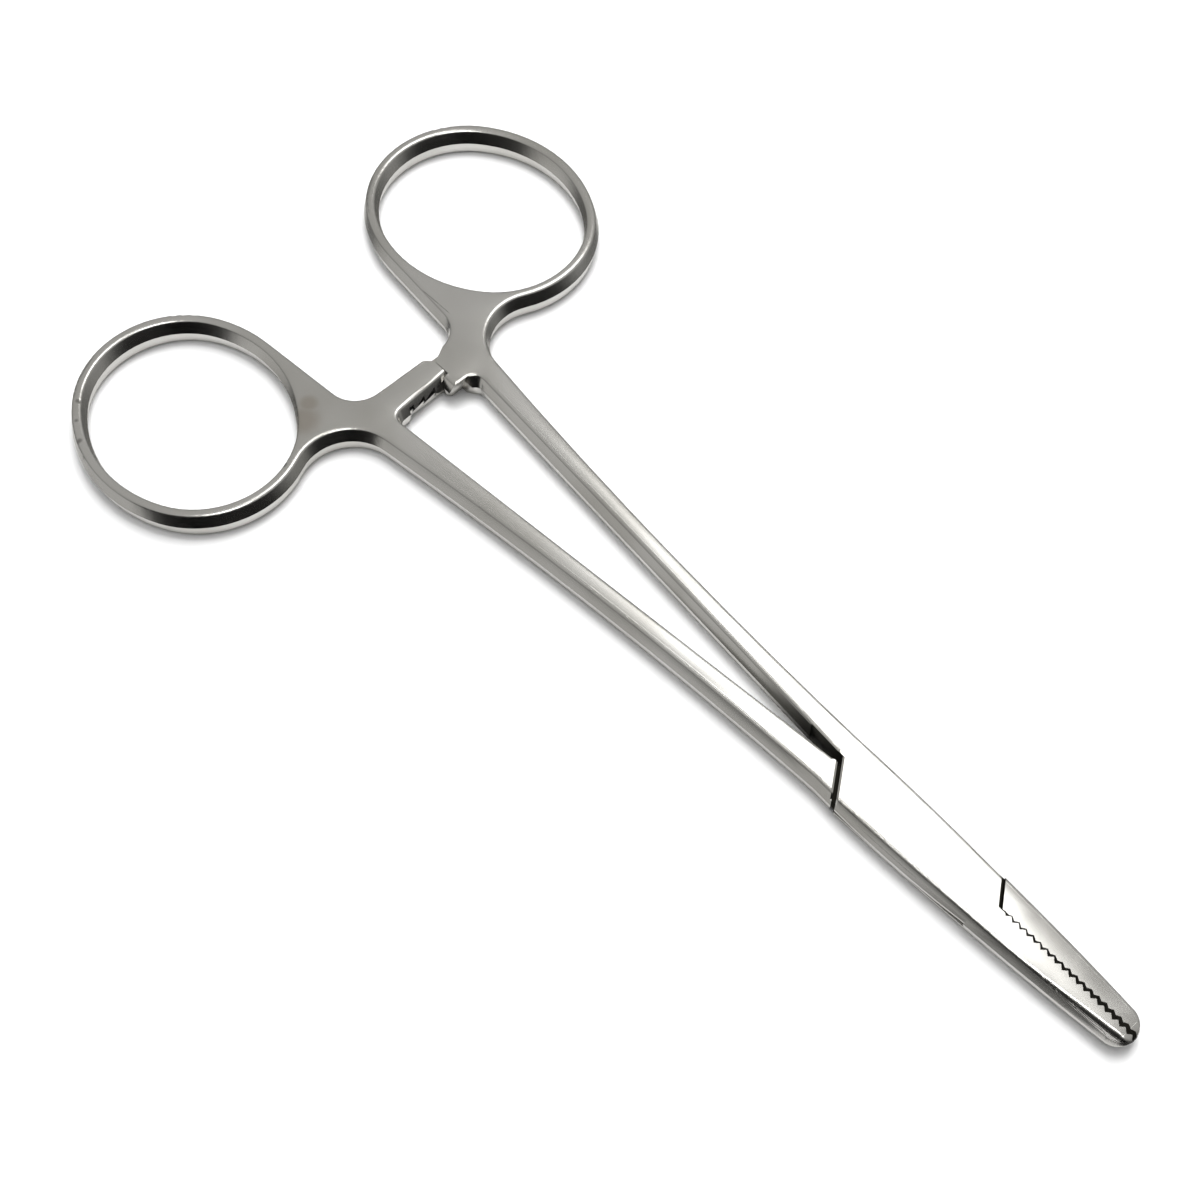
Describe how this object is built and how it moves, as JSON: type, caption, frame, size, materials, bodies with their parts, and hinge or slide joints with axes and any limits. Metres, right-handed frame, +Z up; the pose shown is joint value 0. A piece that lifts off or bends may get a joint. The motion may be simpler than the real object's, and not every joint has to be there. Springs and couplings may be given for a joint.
{
  "type": "surgical needle holder",
  "caption": "Ring-handled surgical needle holder with a box-lock hinge, ratchet arms between the finger rings, and short tapered jaws with serrated faces.",
  "frame": {"origin": "middle of the instrument's length and width, on the surface that it lies on", "axes": "+X along the instrument towards the jaw tip, +Y towards the finger ring of the female half, +Z up, along the hinge pin"},
  "size_m": [0.14, 0.0728, 0.0041],
  "materials": {
    "satin_stainless": "satin, fine grain",
    "pin_stainless": "ground flush with the box"
  },
  "bodies": {
    "female_body": {"female_half": "satin_stainless", "box_lock_pin": "pin_stainless"},
    "male_body": {"male_half": "satin_stainless"}
  },
  "joints": [
    {"name": "box_lock_hinge", "type": "hinge", "parent": "female_body", "child": "male_body", "pos_m": [0.0405, 0, 0.00205], "axis": [0, 0, 1], "range_deg": [0, 40]}
  ]
}
